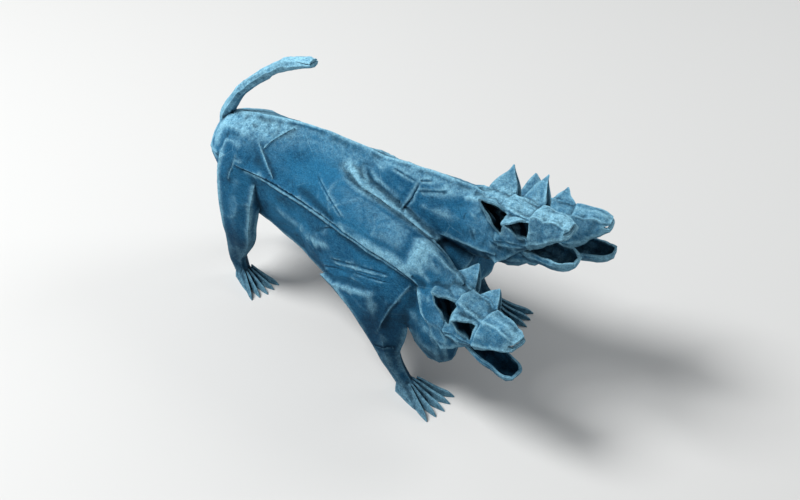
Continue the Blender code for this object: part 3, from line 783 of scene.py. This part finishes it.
# %% Start the finish
class Finish:
    """A few short words for building a node tree."""

    def __init__(self, name):
        self.material = bpy.data.materials.new(name)
        self.material.use_nodes = True
        self.tree = self.material.node_tree
        self.shader = self.tree.nodes["Principled BSDF"]

    def node(self, kind, **settings):
        node = self.tree.nodes.new(kind)
        for key, value in settings.items():
            setattr(node, key, value)
        return node

    def link(self, source, target):
        self.tree.links.new(source, target)

    def put(self, socket, value):
        if isinstance(value, bpy.types.NodeSocket):
            self.link(value, socket)
        elif value is not None:
            socket.default_value = value

    def math(self, operation, a, b=None, c=None, clamp=False):
        node = self.node("ShaderNodeMath", operation=operation, use_clamp=clamp)
        for socket, value in zip(node.inputs, (a, b, c)):
            self.put(socket, value)
        return node.outputs[0]

    def ramp(self, value, low, high, to_low=0.0, to_high=1.0):
        node = self.node("ShaderNodeMapRange", interpolation_type="SMOOTHSTEP")
        for socket, number in zip(node.inputs, (value, low, high, to_low, to_high)):
            self.put(socket, number)
        return node.outputs[0]

    def mix(self, share, a, b):
        node = self.node("ShaderNodeMix", data_type="RGBA", blend_type="MIX")
        self.put(node.inputs["Factor"], share)
        self.put(node.inputs[6], a)
        self.put(node.inputs[7], b)
        return node.outputs[2]

    def noise(self, place, scale, detail=2.0, rough=0.5, twist=0.0):
        node = self.node("ShaderNodeTexNoise")
        self.link(place, node.inputs["Vector"])
        node.inputs["Scale"].default_value = scale
        node.inputs["Detail"].default_value = detail
        node.inputs["Roughness"].default_value = rough
        node.inputs["Distortion"].default_value = twist
        return node.outputs["Fac"]

    def stretched(self, place, turn, squash):
        node = self.node("ShaderNodeMapping")
        self.link(place, node.inputs["Vector"])
        node.inputs["Rotation"].default_value = turn
        node.inputs["Scale"].default_value = squash
        return node.outputs["Vector"]

    def attribute(self, name):
        return self.node("ShaderNodeAttribute", attribute_name=name).outputs["Fac"]


paper = Finish("blue_tissue_paper")
place = paper.node("ShaderNodeTexCoord").outputs["Object"]
place = paper.stretched(place, (0, 0, 0), (1 / MM, 1 / MM, 1 / MM))
print("the finish starts with", len(paper.tree.nodes), "nodes")

# %% [markdown]
# ## Dye and painted shade
#
# The sheet took its dye unevenly: mid blue and a softer blue lie in slow clouds, with
# deep blue in patches. Deep blue is also painted as shade low on the figure, under it and
# at the throat. Two noises of different size give the clouds and the patches, so that no
# edge in the colour follows an edge of the mesh.

# %% Dye the sheet and paint the shade low down
DEEP_BLUE = (0.003, 0.026, 0.060, 1)
MID_BLUE = (0.003, 0.058, 0.138, 1)
SOFT_BLUE = (0.009, 0.110, 0.232, 1)
CLOUDS = (0.045, 4, 0.55, 0.5)     # every noise: scale per mm, detail, roughness and twist
PATCHES = (0.11, 4, 0.6, 0.6)
PAINTED_SHADE_SHARE, PATCH_SHARE = 0.88, 0.28


def cloudy_dye_and_shade(painted_shade):
    clouds = paper.ramp(paper.noise(place, *CLOUDS), 0.36, 0.66)
    patches = paper.ramp(paper.noise(place, *PATCHES), 0.50, 0.70)
    colour = paper.mix(clouds, MID_BLUE, SOFT_BLUE)
    # Painted shade: deep blue on the lower legs, under the figure and at the throat.
    colour = paper.mix(paper.math("MULTIPLY", painted_shade, PAINTED_SHADE_SHARE), colour, DEEP_BLUE)
    return paper.mix(paper.math("MULTIPLY", patches, PATCH_SHARE), colour, DEEP_BLUE)


painted_shade_factor = paper.attribute("painted_shade")
colour = cloudy_dye_and_shade(painted_shade_factor)
print("with the dye,", len(paper.tree.nodes), "nodes")

# %% [markdown]
# ## Fibres and lint
#
# Long soft fibres run through the tissue in every direction, and paler lint lies on it
# in blotches. A noise that is squashed to long thin streaks, and kept only where it
# crosses its middle value, gives thin lines. Three of them, each turned its own way, make
# a web. Where painted shade lies, most of the lint is hidden.

# %% Lay the fibres
LINT_BLUE = (0.050, 0.220, 0.360, 1)
FIBRE_TURNS = ((0.3, 0.2, 0.5), (0.9, -0.4, 2.1), (-0.5, 1.1, 3.6))
FIBRE_SQUASH = (0.45, 2.4, 2.4)
FIBRE_WIDTH = 0.045
STRANDS = (0.75, 2, 0.5, 0.5)
BLOTCHES = (0.55, 6, 0.75, 0.3)
FIBRE_SHARE, BLOTCH_SHARE = 0.34, 0.30
SHADE_COVERS_LINT = 0.7                # share of the lint that painted shade hides


def fibre_web():
    """1 along thin fibres that run in three directions."""
    web = None
    for turn in FIBRE_TURNS:
        strand = paper.noise(paper.stretched(place, turn, FIBRE_SQUASH), *STRANDS)
        beside = paper.math("ABSOLUTE", paper.math("SUBTRACT", strand, 0.5))
        thin = paper.ramp(beside, 0.0, FIBRE_WIDTH, 1, 0)
        web = thin if web is None else paper.math("MAXIMUM", web, thin)
    return web


def linted(colour, fibres, outside_painted_shade):
    blotches = paper.ramp(paper.noise(place, *BLOTCHES), 0.44, 0.74)
    lint = paper.math("MULTIPLY_ADD", fibres, FIBRE_SHARE, paper.math("MULTIPLY", blotches, BLOTCH_SHARE))
    return paper.mix(paper.math("MULTIPLY", lint, outside_painted_shade), colour, LINT_BLUE)


fibres = fibre_web()
# 1 outside painted shade; painted shade hides most of the lint and of the pale rubbing.
outside_painted_shade = paper.math("MULTIPLY_ADD", painted_shade_factor, -SHADE_COVERS_LINT, 1.0)
colour = linted(colour, fibres, outside_painted_shade)
print("with the fibres,", len(paper.tree.nodes), "nodes")

# %% [markdown]
# ## Old creases
#
# A few faint creases are left from earlier folding. They are the borders of large cells,
# wavering a little, and a slow noise keeps only some of them, because a full net of
# cells would look like cracked glaze.

# %% Draw the old creases
WAVER_SCALE, WAVER_MM = 0.09, 2
CELL_SCALE = 0.04
CREASE_WIDTH = 0.016
KEPT = (0.05, 2, 0.5)


def old_creases():
    """1 along the few creases that are kept."""
    wobble = paper.node("ShaderNodeTexNoise")
    paper.link(place, wobble.inputs["Vector"])
    wobble.inputs["Scale"].default_value = WAVER_SCALE
    bent = paper.node("ShaderNodeVectorMath", operation="MULTIPLY_ADD")
    paper.link(wobble.outputs["Color"], bent.inputs[0])
    bent.inputs[1].default_value = (WAVER_MM, WAVER_MM, WAVER_MM)
    paper.link(place, bent.inputs[2])
    cells = paper.node("ShaderNodeTexVoronoi", feature="DISTANCE_TO_EDGE")
    paper.link(bent.outputs[0], cells.inputs["Vector"])
    cells.inputs["Scale"].default_value = CELL_SCALE
    kept = paper.ramp(paper.noise(place, *KEPT), 0.50, 0.60)
    return paper.math("MULTIPLY", paper.ramp(cells.outputs["Distance"], 0.0, CREASE_WIDTH, 1, 0), kept)


creases = old_creases()
print("with the old creases,", len(paper.tree.nodes), "nodes")

# %% [markdown]
# ## Pale ridges and painted shade in the folds
#
# Pale cyan shows where fingers have shaped the paper, as painted light on faces that look
# up, and along each ridge, partly rubbed dye and partly painted highlight. Two noises
# break it up, as real rubbing is patchy. The valleys and hollows then get painted shade
# over everything, so that a fold is always dark at its bottom.

# %% Paint the pale ridges and the shade in the folds
# PALE_CYAN is worn tone, painted light and painted highlight.
PALE_CYAN = (0.280, 0.570, 0.720, 1)
# FOLD_SHADOW is painted shade for the bottoms of folds and the hollows.
FOLD_SHADOW = (0.003, 0.018, 0.036, 1)
RUBBED_PATCHES = (0.5, 5, 0.65)
THIN_PATCHES = (0.8, 5, 0.7, 0.4)
# Shares of the pale tone, partly worn and partly painted light, and of the painted shade.
WORN_AND_LIT_SHARE, RUB_AND_HIGHLIGHT_SHARE, CREASE_RUB = 0.95, 0.80, 0.22
VALLEY_SHARE, HOLLOW_SHARE = 0.80, 0.75


# Pale cyan on worn and lit places, and along ridges as rubbed dye and painted highlight.
def paled(colour, creases, outside_painted_shade):
    patchy = paper.ramp(paper.noise(place, *RUBBED_PATCHES), 0.28, 0.62, 0.35, 1.0)
    thinner = paper.ramp(paper.noise(place, *THIN_PATCHES), 0.36, 0.60, 0.45, 1.0)
    worn_and_lit = paper.math("MULTIPLY", paper.attribute("worn_and_lit"), paper.math("MULTIPLY", patchy, thinner))
    colour = paper.mix(paper.math("MULTIPLY", worn_and_lit, WORN_AND_LIT_SHARE), colour, PALE_CYAN)
    rub_and_highlight = paper.math("MULTIPLY_ADD", creases, CREASE_RUB, paper.attribute("ridge"))
    rub_and_highlight = paper.math("MULTIPLY", paper.math("MULTIPLY", rub_and_highlight, patchy), outside_painted_shade, clamp=True)
    return paper.mix(paper.math("MULTIPLY", rub_and_highlight, RUB_AND_HIGHLIGHT_SHARE), colour, PALE_CYAN)


# Painted shade: FOLD_SHADOW is mixed in over the valleys and the hollows.
def shaded(colour):
    hollow = paper.math("MULTIPLY", paper.ramp(paper.attribute("hollow"), 0.4, 1.0), HOLLOW_SHARE)
    fold_shade = paper.math("MULTIPLY_ADD", paper.attribute("valley"), VALLEY_SHARE, hollow, clamp=True)
    return paper.mix(fold_shade, colour, FOLD_SHADOW)


colour = shaded(paled(colour, creases, outside_painted_shade))
print("with the rubbed and pooled dye,", len(paper.tree.nodes), "nodes")

# %% [markdown]
# ## Grain and relief
#
# Seen from near, tissue is speckled and a little rough to the touch. A fine noise makes
# each speck lighter or darker, and duller or less dull. The same noise, the fibres and
# the old creases also stand up by a fraction of a millimetre. A bump node gives the
# light such a relief without more triangles.

# %% Add the grain and the relief
GRAIN = (1.7, 5, 0.75)
DARKEST, LIGHTEST = 0.64, 1.34
DULL, LESS_DULL = 0.92, 0.74
SHEEN = 0.10
FIBRE_RISE, GRAIN_RISE, CREASE_RISE = 0.35, 0.8, 0.9
BUMP_STRENGTH, BUMP_HEIGHT = 0.55, 0.16 * MM


def speckled(colour, grain):
    scaled = paper.node("ShaderNodeVectorMath", operation="SCALE")
    paper.link(colour, scaled.inputs[0])
    paper.link(paper.ramp(grain, 0.3, 0.7, DARKEST, LIGHTEST), scaled.inputs["Scale"])
    return scaled.outputs[0]


def relief(fibres, grain, creases):
    height = paper.math("MULTIPLY_ADD", fibres, FIBRE_RISE, paper.math("MULTIPLY", grain, GRAIN_RISE))
    bump = paper.node("ShaderNodeBump")
    bump.inputs["Strength"].default_value = BUMP_STRENGTH
    bump.inputs["Distance"].default_value = BUMP_HEIGHT
    paper.link(paper.math("MULTIPLY_ADD", creases, CREASE_RISE, height), bump.inputs["Height"])
    return bump.outputs["Normal"]


grain = paper.noise(place, *GRAIN)
paper.link(speckled(colour, grain), paper.shader.inputs["Base Color"])
paper.link(paper.ramp(grain, 0.2, 0.8, DULL, LESS_DULL), paper.shader.inputs["Roughness"])
paper.shader.inputs["Specular IOR Level"].default_value = SHEEN
paper.link(relief(fibres, grain, creases), paper.shader.inputs["Normal"])
sheet.data.materials.append(paper.material)
print("the whole finish has", len(paper.tree.nodes), "nodes")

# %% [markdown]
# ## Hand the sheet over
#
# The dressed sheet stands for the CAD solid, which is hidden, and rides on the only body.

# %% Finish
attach(sheet, "root")
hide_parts("folded_hound")
